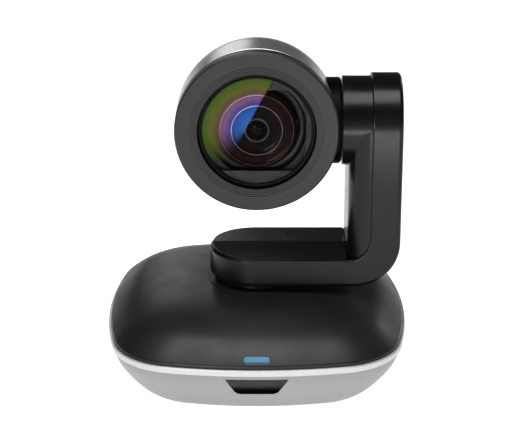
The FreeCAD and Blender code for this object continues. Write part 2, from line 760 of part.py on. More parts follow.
def screw_inward(name, x, y, z, length):
    """A screw whose head starts at x and whose shank points towards the head, along -X."""
    head = cylinder(f"{name}_head", "screw_head", "screw_cap", x, y, z, axis="X")
    shank = cylinder(f"{name}_shank", "screw_shank", length, f"{x} - ({length})", y, z, axis="X")
    return fuse(name, head, shank)


def underside():
    feet = [
        cylinder(f"foot_{i}", "foot_radius", "floor_height", f"{a}foot_offset", f"{b}foot_offset")
        for i, (a, b) in enumerate((("-", "-"), ("", "-"), ("-", ""), ("", "")))
    ]
    node(group("rubber_feet", *feet))
    insert = cylinder("insert_body", "insert_radius", "insert_top - floor_height", z="floor_height")
    thread = cylinder("insert_thread", "insert_bore", "insert_depth", z="floor_height")
    node(cut("tripod_insert", insert, thread))
    plate = doc.addObject("Part::Extrusion", "ballast_slab")
    plate.Base = section("ballast_outline", "ballast_scale", "ballast_low")
    plate.Dir = FreeCAD.Vector(0, 0, 1)
    plate.Solid = True
    bind(plate, "LengthFwd", "ballast_high - ballast_low")
    holes = [
        cylinder(f"ballast_hole{i}", "screw_shank + seam_gap", "insert_top", x, y)
        for i, (x, y) in enumerate(post_places())
    ]
    node(cut(
        "ballast_plate",
        plate,
        cylinder("ballast_centre", "insert_radius + seam_gap", "insert_top"),
        *holes,
    ))
    screws = [
        screw_up(f"base_screw_{i}", x, y, "floor_height + seam_gap", "screw_length")
        for i, (x, y) in enumerate(post_places())
    ]
    node(group("base_screws", *screws))
    steel = block(
        "lock_steel",
        ("lock_plate_low", "lock_plate_low + wall_thick / 2"),
        ("-lock_plate", "lock_plate"),
        ("lock_height - lock_plate + 1", "lock_height + lock_plate"),
    )
    slot = block(
        "lock_steel_slot",
        ("bay_half", "base_half"),
        ("-lock_half", "lock_half"),
        ("lock_height - lock_rise", "lock_height + lock_rise"),
    )
    node(cut("lock_slot_plate", steel, slot))


def electronics():
    board_low = "ballast_high + board_stand"
    top = f"{board_low} + board_thick"
    node(block(
        "main_board",
        ("-main_half", "main_half"),
        ("-main_front", "-main_rear"),
        (board_low, top),
    ))
    chips = [
        block(
            f"chip_{i}",
            (f"{x - half}", f"{x + half}"),
            (f"{y - half}", f"{y + half}"),
            (top, f"{top} + {tall}"),
        )
        for i, (x, y, half, tall) in enumerate(BOARD_PARTS)
    ]
    node(group("board_chips", *chips))
    reach = "receiver_reach"
    upright = ("window_low + 1", "window_high - 1.4")
    receiver = block(
        "receiver_body",
        ("-receiver_half", "receiver_half"),
        (f"-{reach}", f"-{reach} + receiver_depth"),
        upright,
    )
    lens = cylinder(
        "receiver_lens",
        "receiver_lens",
        "receiver_proud",
        y=f"-{reach}",
        z="(window_low + window_high) / 2",
        axis="forward",
    )
    node(fuse("ir_receiver", receiver, lens))


def pan_frame():
    def plate(name, low):
        return block(
            name,
            ("-frame_half", "frame_half"),
            ("frame_front", "frame_back"),
            (low, f"{low} + plate_thick"),
        )

    low_plate = plate("frame_low_plate", "motor_plate_low")
    high_plate = plate("frame_high_plate", "bearing_plate_low")
    posts = [
        cylinder(
            f"frame_post{i}",
            "post_radius",
            "bearing_plate_low - ballast_high",
            x,
            y,
            "ballast_high",
        )
        for i, (x, y) in enumerate(post_places())
    ]
    seat = cylinder(
        "frame_seat",
        "bearing_radius + seat_wall",
        "bearing_high - bearing_plate_low",
        z="bearing_plate_low",
    )
    solid = fuse("frame_solid", low_plate, high_plate, seat, *posts)
    bearing_bore = cylinder("frame_bearing_bore", "bearing_radius", "plateau_top", z="bearing_low")
    shaft_way = cylinder("frame_shaft_way", "shaft_radius + 1", "plateau_top", z="bearing_plate_low - 1")
    bush_bore = cylinder("frame_bush_bore", "bush_radius", "plate_thick + 2", z="motor_plate_low - 1")
    distance = "gear_module * (pan_teeth + pinion_teeth) / 2"
    spindle_way = cylinder(
        "frame_spindle_way",
        "3 * spindle_radius",
        "plate_thick + 2",
        "0",
        distance,
        "motor_plate_low - 1",
    )
    taps = [
        cylinder(
            f"frame_tap{i}",
            "screw_shank",
            "screw_length",
            x,
            y,
            "floor_height + seam_gap + screw_cap",
        )
        for i, (x, y) in enumerate(post_places())
    ]
    node(cut("pan_frame", solid, bearing_bore, shaft_way, bush_bore, spindle_way, *taps))
    free = "shaft_radius + running_gap"
    node(ring("pan_bearing", "bearing_radius", free, "bearing_high - bearing_low", z="bearing_low"))
    node(ring("pan_bush", "bush_radius", free, "plate_thick", z="motor_plate_low"))
    can = cylinder(
        "pan_motor_can",
        "motor_radius",
        "motor_plate_low - motor_low",
        "0",
        distance,
        "motor_low",
    )
    hole = cylinder(
        "pan_motor_hole",
        "spindle_radius + running_gap",
        "motor_radius",
        "0",
        distance,
        "motor_plate_low - motor_radius",
    )
    node(cut("pan_motor", can, hole))


# ---------------------------------------------------------------- turning arm

def pan_parts():
    node(gear("pan_gear", "pan_teeth", "gear_thick", "shaft_radius", 90, z="pan_gear_low"))
    distance = "gear_module * (pan_teeth + pinion_teeth) / 2"
    half_pitch = 180 / number("pinion_teeth")
    spindle = ("motor_plate_low - motor_radius + 1 - pan_gear_low", "gear_thick + spindle_proud")
    node(gear(
        "pan_pinion",
        "pinion_teeth",
        "gear_thick",
        "spindle_radius",
        90 + half_pitch,
        "0",
        distance,
        "pan_gear_low",
        "Z",
        spindle,
    ))
    flange = "arm_low + arm_wall"
    corners = (
        ("shaft_bore", "shaft_low"),
        ("shaft_radius", "shaft_low"),
        ("shaft_radius", flange),
        ("flange_radius", flange),
        ("flange_radius", f"{flange} + flange_thick"),
        ("shaft_bore", f"{flange} + flange_thick"),
    )
    node(turned("pan_shaft", corners))
    corners = (
        ("shaft_radius", "collar_low"),
        ("collar_radius - collar_bevel", "collar_low"),
        ("collar_radius", "collar_low + collar_bevel"),
        ("collar_radius", "arm_low"),
        ("shaft_radius", "arm_low"),
    )
    node(turned("pan_collar", corners))


def band_profile(name, inset, deck, half):
    """The bent band of the arm between two Y planes, its walls moved in by inset."""
    outer = f"arm_outer - {inset}"
    low = f"arm_low + {inset}"
    top = f"tilt_height + arm_half - {inset}"
    tail = f"-arm_half + {inset}"
    bend = f"arm_bend - {inset}"
    corners = (
        (tail, low),
        (f"{outer} - ({bend})", low, bend, 1),
        (outer, f"{low} + {bend}"),
        (outer, top),
        ("arm_inner", top),
        ("arm_inner", f"{deck} + arm_crook", "arm_crook", -1),
        ("arm_inner - arm_crook", deck),
        (tail, deck),
    )
    return padded(f"{name}_bend", "XZ_Plane", f"2 * ({half})", corners, symmetric=True)


def arm_envelope(name, inset, deck):
    """Band with its round top about the tilt axis and its round tail about the pan axis."""
    half = f"arm_half - {inset}"
    bend = band_profile(name, inset, deck, half)
    span = ("-arm_half", "arm_outer")
    crown = fuse(
        f"{name}_crown",
        cylinder(
            f"{name}_crown_round",
            half,
            "arm_half + arm_outer",
            "-arm_half",
            z="tilt_height",
            axis="X",
        ),
        block(f"{name}_crown_block", span, (f"-({half})", half), ("arm_low", "tilt_height")),
    )
    height = "tilt_height + arm_half - arm_low"
    plan = fuse(
        f"{name}_plan",
        cylinder(f"{name}_plan_round", half, height, z="arm_low"),
        block(
            f"{name}_plan_block",
            ("0", "arm_outer"),
            (f"-({half})", half),
            ("arm_low", "tilt_height + arm_half"),
        ),
    )
    return common(f"{name}_envelope", bend, crown, plan)


def upright_solid(name, inset):
    """The upright's inner cover: a slab with a round boss, moved in by inset."""
    half = f"upright_half - {inset}"
    slab = block(
        f"{name}_slab",
        (f"upright_face + {inset}", "arm_inner"),
        (f"-({half})", half),
        (f"arm_deck + {inset}", "tilt_height"),
    )
    face = number(f"upright_face + {inset}")

    def upright_edge(edge, side):
        box = edge.BoundBox
        return box.ZLength > 20 and abs(box.XMax - face) < 0.01 and box.YMax * side > 0

    front = rounded(
        f"{name}_front",
        slab,
        f"upright_round - {inset}",
        lambda edge: upright_edge(edge, -1),
    )
    back = rounded(f"{name}_back", front, f"upright_ease - {inset}", lambda edge: upright_edge(edge, 1))
    start = f"boss_face + {inset}"
    boss = cylinder(
        f"{name}_boss",
        f"boss_radius - {inset}",
        f"arm_inner - ({start})",
        start,
        z="tilt_height",
        axis="X",
    )
    return fuse(f"{name}_upright", back, boss)


def arm_parts():
    envelope = arm_envelope("arm_outside", "0", "arm_deck")
    outer, inner, low, deck, tilt = (
        number(text) for text in ("arm_outer", "arm_inner", "arm_low", "arm_deck", "tilt_height")
    )

    def corner_edge(edge):
        """True at a real corner, false where a flat and a round face only meet."""
        box = edge.BoundBox
        across = max(box.XLength, box.ZLength) < 0.01
        at_crown = box.ZLength < 0.01 and abs(box.ZMin - tilt) < 0.01
        at_tail = max(box.XLength, abs(box.XMin)) < 0.01
        return not (across or at_crown or at_tail)

    def outer_edge(edge):
        box = edge.BoundBox
        return corner_edge(edge) and (box.XMax > outer - 0.01 or box.ZMin < low + 0.01)

    def inner_edge(edge):
        box = edge.BoundBox
        return corner_edge(edge) and box.XMax < inner + 0.01 and box.ZMin > deck - 0.01

    blunt = rounded("arm_blunt", envelope, "arm_edge", outer_edge)
    soft = rounded("arm_soft", blunt, "arm_inner_edge", inner_edge)
    cavity = arm_envelope("arm_inside", "arm_wall", "arm_deck + arm_wall")
    opening = block(
        "arm_opening",
        ("arm_inner - arm_crook / 2", "arm_inner + arm_wall"),
        ("-upright_half + arm_wall", "upright_half - arm_wall"),
        ("arm_deck", "tilt_height"),
    )
    cover = upright_solid("upright_outside", "0")
    deck_plan = fuse(
        "deck_plan",
        cylinder("deck_round", "deck_half", "arm_deck", z="0"),
        block("deck_block", ("0", "deck_end"), ("-deck_half", "deck_half"), ("0", "arm_deck")),
    )
    seat = common(
        "deck_seat",
        deck_plan,
        block(
            "deck_layer",
            ("-arm_half", "deck_end"),
            ("-arm_half", "arm_half"),
            ("arm_deck - deck_thick", "arm_deck"),
        ),
    )
    shaft_way = cylinder("arm_shaft_way", "shaft_radius", "2 * arm_wall", z="arm_low - arm_wall")
    node(cut("arm_band", soft, cavity, opening, cover, seat, shaft_way))
    hollow = upright_solid("upright_inside", "upright_wall")
    through = block(
        "upright_mouth",
        ("arm_inner - upright_wall", "arm_inner"),
        ("-upright_half + upright_wall", "upright_half - upright_wall"),
        ("arm_deck + upright_wall", "tilt_height"),
    )
    shaft_hole = cylinder("upright_shaft_hole", "tilt_shaft + 1", "arm_inner", z="tilt_height", axis="X")
    node(cut("upright_cover", cover, hollow, through, shaft_hole))
    ridge = (
        ("-deck_half", "0"),
        ("deck_half", "0"),
        ("deck_half", "deck_thick + deck_rear"),
        ("0", "deck_thick + deck_ridge"),
        ("-deck_half", "deck_thick"),
    )
    roof = padded(
        "deck_roof",
        "YZ_Plane",
        "deck_half + deck_end",
        ridge,
        x="-deck_half",
        z="arm_deck - deck_thick",
    )
    lid = fuse(
        "deck_lid",
        cylinder("deck_lid_round", "deck_half", "arm_deck", z="arm_deck / 2"),
        block(
            "deck_lid_block",
            ("0", "deck_end"),
            ("-deck_half", "deck_half"),
            ("arm_deck / 2", "arm_deck * 1.5"),
        ),
    )
    node(common("deck_plate", roof, lid))


def bracket_screws():
    heights = ("bracket_screw_low", "bracket_screw_high")
    return [(f"{side}bracket_screw_side", z) for z in heights for side in ("-", "")]


def tilt_parts():
    distance = "gear_module * (tilt_teeth + pinion_teeth) / 2"
    motor_height = f"tilt_height - {distance}"
    plate = block(
        "tilt_bracket_plate",
        ("bracket_low", "bracket_low + bracket_thick"),
        ("-bracket_half", "bracket_half"),
        ("bracket_foot", "bracket_head"),
    )
    bearing_hole = cylinder(
        "tilt_bracket_bore",
        "tilt_bearing",
        "2 * bracket_thick",
        "bracket_low - 1",
        z="tilt_height",
        axis="X",
    )
    spindle_hole = cylinder(
        "tilt_bracket_way",
        "3 * spindle_radius",
        "2 * bracket_thick",
        "bracket_low - 1",
        z=motor_height,
        axis="X",
    )
    taps = [
        cylinder(f"tilt_bracket_tap{i}", "screw_shank", "bracket_thick", "bracket_low", y, z, "X")
        for i, (y, z) in enumerate(bracket_screws())
    ]
    node(cut("tilt_bracket", plate, bearing_hole, spindle_hole, *taps))
    free = "tilt_shaft + running_gap"
    node(ring(
        "tilt_bearing",
        "tilt_bearing",
        free,
        "bracket_thick + 2",
        "bracket_low - 2",
        z="tilt_height",
        axis="X",
    ))
    can = cylinder(
        "tilt_motor_can",
        "tilt_motor",
        "bracket_low - tilt_motor_low",
        "tilt_motor_low",
        z=motor_height,
        axis="X",
    )
    hole = cylinder(
        "tilt_motor_hole",
        "spindle_radius + running_gap",
        "spindle_hole",
        "bracket_low - spindle_hole",
        z=motor_height,
        axis="X",
    )
    node(cut("tilt_motor", can, hole))
    half_pitch = 180 / number("pinion_teeth")
    spindle = ("bracket_low - spindle_sunk - tilt_gear_low", "gear_thick + spindle_proud")
    node(gear(
        "tilt_pinion",
        "pinion_teeth",
        "gear_thick",
        "spindle_radius",
        half_pitch,
        "tilt_gear_low",
        "0",
        motor_height,
        "X",
        spindle,
    ))
    screws = [
        screw_inward(f"arm_screw_{i}", "bracket_low + bracket_thick", y, z, "bracket_thick")
        for i, (y, z) in enumerate(bracket_screws())
    ]
    node(group("arm_screws", *screws))
    node(block(
        "driver_board",
        ("bracket_low", "bracket_low + board_thick"),
        ("-bracket_half", "bracket_half"),
        ("arm_board_low", "arm_board_high - 1"),
    ))


# ---------------------------------------------------------------- tilting head

HEAD = {"z": "tilt_height", "axis": "forward"}


def sweep_radius(forward, inset="0"):
    """Radius of the swept barrel at a distance forward of the tilt axis."""
    return f"head_radius - head_sweep + sqrt((head_sweep - {inset})^2 - ({forward} - head_sweep_start)^2)"


def head_shell():
    wall = "head_wall"
    corners = (
        ("head_radius - head_wall", "shell_front"),
        ("head_radius - head_wall", "head_sweep_start", "head_sweep - head_wall", -1),
        (sweep_radius("shell_back", wall), "shell_back"),
        (sweep_radius("shell_back"), "shell_back", "head_sweep", 1),
        ("head_radius", "head_sweep_start"),
        ("head_radius", "shell_front - shell_bevel"),
        ("head_radius - shell_bevel", "shell_front"),
    )
    barrel = turned("head_barrel", corners, **HEAD)
    hub_way = cylinder(
        "head_hub_way",
        "hub_radius + seam_gap",
        "head_radius",
        "hub_low",
        z="tilt_height",
        axis="X",
    )
    node(cut("head_shell", barrel, hub_way))
    rim = "shell_back - seam_gap"
    corners = (
        ("0", "cap_back"),
        (sweep_radius("cap_back"), "cap_back", "head_sweep", 1),
        (sweep_radius(rim), rim),
        (sweep_radius(rim, wall), rim, "head_sweep - head_wall", -1),
        (sweep_radius("cap_back + head_wall", wall), "cap_back + head_wall"),
        ("0", "cap_back + head_wall"),
    )
    node(turned("rear_cap", corners, **HEAD))


def front_bezel():
    """Face ring with fine grooves round the glass."""
    steps = range(1, round(number("ridge_count")) + 1)
    land = "glass_back + glass_thick"
    corners = [
        ("glass_radius", "bezel_back"),
        ("head_radius", "bezel_back"),
        ("head_radius", "bezel_front - bezel_bevel"),
        ("head_radius - bezel_bevel", "bezel_front"),
    ]
    for step in steps:
        start = f"bezel_flat - {step} * ridge_width"
        corners.append((f"{start} + groove_width", "bezel_front"))
        corners.append((f"{start} + groove_width", "bezel_front - groove_deep"))
        corners.append((start, "bezel_front - groove_deep"))
        corners.append((start, "bezel_front"))
    corners.append((f"{start} - groove_width", "bezel_front"))
    corners.append((f"{start} - groove_width", land))
    corners.append(("glass_radius", land))
    node(turned("front_bezel", corners, **HEAD))
    glass = (("0", "glass_back"), ("glass_radius", "glass_back"), ("glass_radius", land), ("0", land))
    node(turned("front_glass", glass, **HEAD))


def lens_baffle():
    disc = cylinder(
        "baffle_disc",
        "baffle_radius",
        "baffle_front - baffle_back",
        y="-baffle_back",
        **HEAD,
    )
    straight = padded(
        "baffle_opening",
        "XY_Plane",
        "baffle_front",
        rounded_rectangle("baffle_wide", "baffle_high", "baffle_corner"),
        **HEAD,
    )
    node(cut("lens_baffle", disc, straight))


def rounded_rectangle(wide, high, corner):
    corners = []
    for x, y, first in (("", "-", False), ("", "", True), ("-", "", False), ("-", "-", True)):
        on_side = (f"{x}({wide})", f"{y}({high} - {corner})")
        on_end = (f"{x}({wide} - {corner})", f"{y}({high})")
        start, end = (on_side, on_end) if first else (on_end, on_side)
        corners.append((*start, corner, 1))
        corners.append(end)
    return corners


def hub_parts():
    corners = (
        ("0", "hub_low"),
        ("hub_radius", "hub_low"),
        ("hub_radius", "hub_high - hub_bevel"),
        ("hub_radius - hub_bevel", "hub_high"),
        ("0", "hub_high"),
    )
    blank = turned("hub_blank", corners, z="tilt_height", axis="X")
    shaft_way = cylinder(
        "hub_shaft_way",
        "tilt_shaft",
        "hub_high - hub_low",
        "hub_low",
        z="tilt_height",
        axis="X",
    )
    bezel_way = cylinder(
        "hub_bezel_way",
        "head_radius + seam_gap",
        "head_radius",
        y="-shell_front",
        **HEAD,
    )
    node(cut("tilt_hub", blank, shaft_way, bezel_way))
    node(cylinder(
        "tilt_shaft",
        "tilt_shaft",
        "tilt_shaft_high - tilt_shaft_low",
        "tilt_shaft_low",
        z="tilt_height",
        axis="X",
    ))
    node(gear(
        "tilt_gear",
        "tilt_teeth",
        "gear_thick",
        "tilt_shaft",
        0,
        "tilt_gear_low",
        "0",
        "tilt_height",
        "X",
    ))


def lens_module():
    length = "housing_front - housing_back"
    node(ring("lens_housing", "housing_radius", "housing_bore", length, y="-(housing_back)", **HEAD))
    flange = "front_lens_back + front_lens_rim"
    shoulder = f"{flange} + front_lens_step"
    bulge = "front_lens_bulge"
    bow = f"(front_lens_radius^2 + {bulge}^2) / (2 * {bulge})"
    corners = (
        ("0", "front_lens_back"),
        ("housing_bore", "front_lens_back"),
        ("housing_bore", flange),
        ("front_lens_radius", flange),
        ("front_lens_radius", shoulder, bow, 1),
        ("0", f"{shoulder} + {bulge}"),
    )
    node(turned("front_lens", corners, **HEAD))
    rods = [
        cylinder(
            f"guide_rod_{i}",
            "rod_radius",
            "front_lens_back - housing_back",
            f"{side}rod_offset",
            "-(housing_back)",
            **HEAD,
        )
        for i, side in enumerate(("-", ""))
    ]
    node(group("guide_rods", *rods))
    carriage("zoom", "-", "zoom_front", "zoom_thick", "zoom_radius")
    carriage("focus", "", "focus_front", "focus_thick", "focus_radius")
    lens_drive("zoom", "-", ("housing_back + lens_motor_long", "-screw_end"), "housing_back")
    lens_drive(
        "focus",
        "",
        ("housing_back + screw_end", "focus_front + focus_reach"),
        "focus_front + focus_reach",
    )
    node(block_ahead("image_sensor", "sensor_half", ("sensor_front - sensor_thick", "sensor_front")))
    node(block_ahead("sensor_board", "board_half", ("board_front - board_thick", "board_front")))


def block_ahead(name, half, span):
    """A square plate across the lens axis; span is measured forward of the tilt axis."""
    low, high = span
    return block(
        name,
        (f"-{half}", half),
        (f"-({high})", f"-({low})"),
        (f"tilt_height - {half}", f"tilt_height + {half}"),
    )


def carriage(kind, side, front, thick, radius):
    """A lens carriage that slides on both guide rods, its ear on one lead screw, and its lens."""
    back = f"{front} - {thick}"
    lift = {"y": f"-({back})", **HEAD}
    disc = cylinder(f"{kind}_disc", radius, thick, **lift)
    ears = block_span(f"{kind}_ears", ("-ear_reach", "ear_reach"), ("-ear_half", "ear_half"), back, front)
    low = f"{side}screw_offset"
    nut = cylinder(
        f"{kind}_nut",
        "2 * lead_radius",
        thick,
        low,
        z="tilt_height - screw_offset",
        y=f"-({back})",
        axis="forward",
    )
    arm = block_span(
        f"{kind}_arm",
        (f"{low} - lead_radius", f"{low} + lead_radius"),
        ("-screw_offset", "0"),
        back,
        front,
    )
    bore = cylinder(f"{kind}_bore", f"{kind}_lens", thick, **lift)
    holes = [
        cylinder(f"{kind}_rod_hole{i}", "rod_radius + running_gap", thick, f"{end}rod_offset", **lift)
        for i, end in enumerate(("-", ""))
    ]
    thread_way = cylinder(
        f"{kind}_thread",
        "lead_radius + running_gap",
        thick,
        low,
        f"-({back})",
        "tilt_height - screw_offset",
        "forward",
    )
    node(cut(f"{kind}_carriage", fuse(f"{kind}_blank", disc, ears, nut, arm), bore, thread_way, *holes))
    bow = "element_bow"
    corners = (
        ("0", f"{back}"),
        (f"{kind}_lens", f"{back}"),
        (f"{kind}_lens", f"{front} - {bow}", f"({kind}_lens^2 + ({bow})^2) / (2 * {bow})", 1),
        ("0", front),
    )
    node(turned(f"{kind}_element", corners, **HEAD))


def block_span(name, x, rise, back, front):
    return block(name, x, (f"-({front})", f"-({back})"), tuple(f"tilt_height + {text}" for text in rise))


def lens_drive(kind, side, span, motor_start):
    """Lead screw along the lens axis, and the motor that turns it."""
    low, high = span
    where = {"x": f"{side}screw_offset", "z": "tilt_height - screw_offset", "axis": "forward"}
    node(cylinder(f"{kind}_screw", "lead_radius", f"{high} - ({low})", y=f"-({low})", **where))
    node(cylinder(f"{kind}_motor", "lens_motor", "lens_motor_long", y=f"-({motor_start})", **where))


def finish():
    """Stop at anything that failed, then write every sub-part."""
    doc.recompute()
    for item in doc.Objects:
        if {"Invalid", "Error"} & set(item.State):
            raise RuntimeError(f"{item.Name} failed: {item.State}")
    os.makedirs("parts", exist_ok=True)
    for item in nodes:
        shape = item.Shape
        if shape.isNull() or not shape.isValid() or not shape.Solids:
            raise RuntimeError(f"{item.Label} has no valid solid")
        box = shape.BoundBox
        print(f"{item.Label:18} {len(shape.Solids)} {shape.Volume:9.1f}", *(f"{value:7.2f}" for value in (
            box.XMin, box.XMax, box.YMin, box.YMax, box.ZMin, box.ZMax)))
        shape.exportStep(f"parts/{item.Label}.step")


bowl = base_bowl()
rim_trim()
top_cover()
socket_bay(bowl)
underside()
electronics()
pan_frame()
pan_parts()
arm_parts()
tilt_parts()
head_shell()
front_bezel()
lens_baffle()
hub_parts()
lens_module()
finish()
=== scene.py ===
import json
import math

import bmesh
import bpy
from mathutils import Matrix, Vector


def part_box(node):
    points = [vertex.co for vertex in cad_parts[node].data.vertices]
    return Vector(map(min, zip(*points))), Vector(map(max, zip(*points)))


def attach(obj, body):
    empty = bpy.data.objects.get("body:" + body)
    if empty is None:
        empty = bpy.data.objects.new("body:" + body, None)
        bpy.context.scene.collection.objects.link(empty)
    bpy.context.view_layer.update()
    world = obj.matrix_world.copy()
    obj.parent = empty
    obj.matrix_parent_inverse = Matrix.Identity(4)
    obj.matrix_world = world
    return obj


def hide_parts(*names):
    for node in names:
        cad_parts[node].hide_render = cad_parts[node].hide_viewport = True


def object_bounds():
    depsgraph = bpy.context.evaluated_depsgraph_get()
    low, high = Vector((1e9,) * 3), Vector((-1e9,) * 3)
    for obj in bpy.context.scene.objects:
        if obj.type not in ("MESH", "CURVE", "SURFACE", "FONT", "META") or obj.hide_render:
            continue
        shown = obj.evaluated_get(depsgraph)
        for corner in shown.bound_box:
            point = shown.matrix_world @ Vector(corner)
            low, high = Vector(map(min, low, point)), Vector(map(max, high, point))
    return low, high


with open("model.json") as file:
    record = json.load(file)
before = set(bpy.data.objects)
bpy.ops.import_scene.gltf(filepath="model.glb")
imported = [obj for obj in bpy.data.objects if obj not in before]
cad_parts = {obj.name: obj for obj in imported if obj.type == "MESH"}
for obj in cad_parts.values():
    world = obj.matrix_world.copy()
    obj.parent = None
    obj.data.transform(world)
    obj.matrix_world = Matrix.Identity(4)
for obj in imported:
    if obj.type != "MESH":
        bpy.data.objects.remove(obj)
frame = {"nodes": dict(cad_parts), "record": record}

cad_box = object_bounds()
MM = 0.001


# ---------------------------------------------------------------- shader nodes

class Shader:
    """A material with short calls for the nodes it is made of."""

    def __init__(self, name):
        self.mat = bpy.data.materials.new(name)
        self.mat.use_nodes = True
        self.tree = self.mat.node_tree
        self.body = self.tree.nodes["Principled BSDF"]
        self.place = self.tree.nodes.new("ShaderNodeTexCoord").outputs["Object"]

    def node(self, kind, **values):
        made = self.tree.nodes.new(kind)
        for key, value in values.items():
            setattr(made, key, value)
        return made

    def feed(self, target, value):
        if isinstance(value, bpy.types.NodeSocket):
            self.tree.links.new(value, target)
        elif value is not None:
            target.default_value = value

    def noise(self, size, detail=2.0, stretch=(1, 1, 1), centre=(0, 0, 0)):
        """Noise from 0 to 1 with features about size metres across."""
        mapping = self.node("ShaderNodeMapping")
        mapping.inputs["Location"].default_value = centre
        mapping.inputs["Scale"].default_value = stretch
        self.feed(mapping.inputs["Vector"], self.place)
        made = self.node("ShaderNodeTexNoise")
        self.feed(made.inputs["Vector"], mapping.outputs["Vector"])
        made.inputs["Scale"].default_value = 1 / size
        made.inputs["Detail"].default_value = detail
        return made.outputs["Fac"]

    def cells(self, size):
        """A random value for each cell about size metres across."""
        made = self.node("ShaderNodeTexVoronoi")
        self.feed(made.inputs["Vector"], self.place)
        made.inputs["Scale"].default_value = 1 / size
        split = self.node("ShaderNodeSeparateColor")
        self.feed(split.inputs["Color"], made.outputs["Color"])
        return split.outputs["Red"]

    def axes(self):
        split = self.node("ShaderNodeSeparateXYZ")
        self.feed(split.inputs["Vector"], self.place)
        return split.outputs["X"], split.outputs["Y"], split.outputs["Z"]

    def math(self, operation, *values):
        made = self.node("ShaderNodeMath", operation=operation)
        for target, value in zip(made.inputs, values):
            self.feed(target, value)
        return made.outputs["Value"]

    def span(self, value, low, high, to_low=0.0, to_high=1.0, smooth=False):
        made = self.node("ShaderNodeMapRange")
        if smooth:
            made.interpolation_type = "SMOOTHSTEP"
        self.feed(made.inputs["Value"], value)
        limits = {"From Min": low, "From Max": high, "To Min": to_low, "To Max": to_high}
        for key, number in limits.items():
            made.inputs[key].default_value = number
        return made.outputs["Result"]

    def mix(self, share, first, second, blend="MIX"):
        made = self.node("ShaderNodeMix", data_type="RGBA", blend_type=blend)
        self.feed(made.inputs[0], share)
        for target, value in ((made.inputs[6], first), (made.inputs[7], second)):
            self.feed(target, (*value, 1.0) if isinstance(value, tuple) else value)
        return made.outputs[2]

    def bump(self, height, depth, strength=1.0):
        made = self.node("ShaderNodeBump")
        made.inputs["Strength"].default_value = strength
        made.inputs["Distance"].default_value = depth
        self.feed(made.inputs["Height"], height)
        self.feed(self.body.inputs["Normal"], made.outputs["Normal"])

    def finish(self, **values):
        for key, value in values.items():
            target = self.body.inputs[key.replace("_", " ")]
            self.feed(target, (*value, 1.0) if isinstance(value, tuple) and len(value) == 3 else value)
        return self.mat


def moulded(name, dark, light, rough, grain=0.35 * MM, relief=0.008 * MM, **values):
    """Moulded plastic: spark-eroded grain, slight cloudiness in colour and gloss."""
    s = Shader(name)
    cloud = s.noise(14 * MM, 3)
    fine = s.noise(grain, 2)
    tone = s.math("ADD", s.math("MULTIPLY", cloud, 0.5), s.math("MULTIPLY", fine, 0.5))
    colour = s.mix(s.span(tone, 0.36, 0.64), dark, light)
    gloss = s.span(s.noise(9 * MM, 4, centre=(0.3, 0.1, 0.7)), 0.3, 0.7, rough - 0.03, rough + 0.04)
    s.bump(fine, relief)
    values.setdefault("Specular_IOR_Level", 0.3)
    return s.finish(Base_Color=colour, Roughness=gloss, **values)


def flake_paint(name, dark, light, rough, metallic):
    """Lacquer with fine metal flake: each flake a little lighter or darker."""
    s = Shader(name)
    flake = s.cells(0.28 * MM)
    cloud = s.noise(20 * MM, 2)
    tone = s.math("ADD", s.math("MULTIPLY", flake, 0.8), s.math("MULTIPLY", cloud, 0.2))
    gloss = s.span(flake, 0.0, 1.0, rough - 0.06, rough + 0.06)
    s.bump(s.noise(0.3 * MM, 1), 0.004 * MM)
    return s.finish(Base_Color=s.mix(tone, dark, light), Roughness=gloss, Metallic=metallic)


def metal(name, dark, light, rough, stretch=(1, 1, 1), grain=0.5 * MM, **values):
    """Bare or plated metal with grain along one axis."""
    s = Shader(name)
    line = s.noise(grain, 4, stretch)
    smear = s.noise(6 * MM, 3)
    tone = s.math("ADD", s.math("MULTIPLY", line, 0.6), s.math("MULTIPLY", smear, 0.4))
    colour = s.mix(s.span(tone, 0.35, 0.65), dark, light)
    gloss = s.span(smear, 0.3, 0.7, rough - 0.05, rough + 0.07)
    s.bump(line, 0.006 * MM)
    return s.finish(Base_Color=colour, Roughness=gloss, Metallic=1.0, **values)


def grey(level, tint=(1.0, 1.0, 1.0)):
    return tuple(level * part for part in tint)


COOL = (0.98, 1.0, 1.04)


bezel_low, bezel_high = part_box("front_bezel")
axis_x = (bezel_low.x + bezel_high.x) / 2
axis_z = (bezel_low.z + bezel_high.z) / 2


def from_lens_axis(s):
    """Distance across, distance up and radius from the lens axis."""
    x, _, z = s.axes()
    across = s.math("SUBTRACT", x, axis_x)
    up = s.math("SUBTRACT", z, axis_z)
    squares = s.math("ADD", s.math("MULTIPLY", across, across), s.math("MULTIPLY", up, up))
    return across, up, s.math("SQRT", squares)


def barrel_paint():
    """Metallic grey paint of the barrel."""
    s = Shader("barrel_paint")
    flake = s.cells(0.25 * MM)
    cloud = s.noise(16 * MM, 2)
    tone = s.math("ADD", s.math("MULTIPLY", flake, 0.7), s.math("MULTIPLY", cloud, 0.3))
    return s.finish(
        Base_Color=s.mix(tone, grey(0.42, COOL), grey(0.54, COOL)),
        Roughness=s.span(flake, 0.0, 1.0, 0.27, 0.37),
        Metallic=0.85,
    )


def board_green():
    """Solder mask with copper tracks showing through as lighter lines."""
    s = Shader("board_green")
    track = s.noise(2.2 * MM, 0, (1, 4, 1))
    lines = s.span(s.math("PINGPONG", s.math("MULTIPLY", track, 9.0), 0.5), 0.34, 0.42)
    colour = s.mix(lines, (0.010, 0.085, 0.035), (0.022, 0.15, 0.06))
    speck = s.span(s.cells(1.3 * MM), 0.93, 0.95)
    colour = s.mix(speck, colour, (0.55, 0.50, 0.36))
    s.bump(lines, 0.02 * MM)
    return s.finish(Base_Color=colour, Roughness=s.span(track, 0.3, 0.7, 0.28, 0.42))


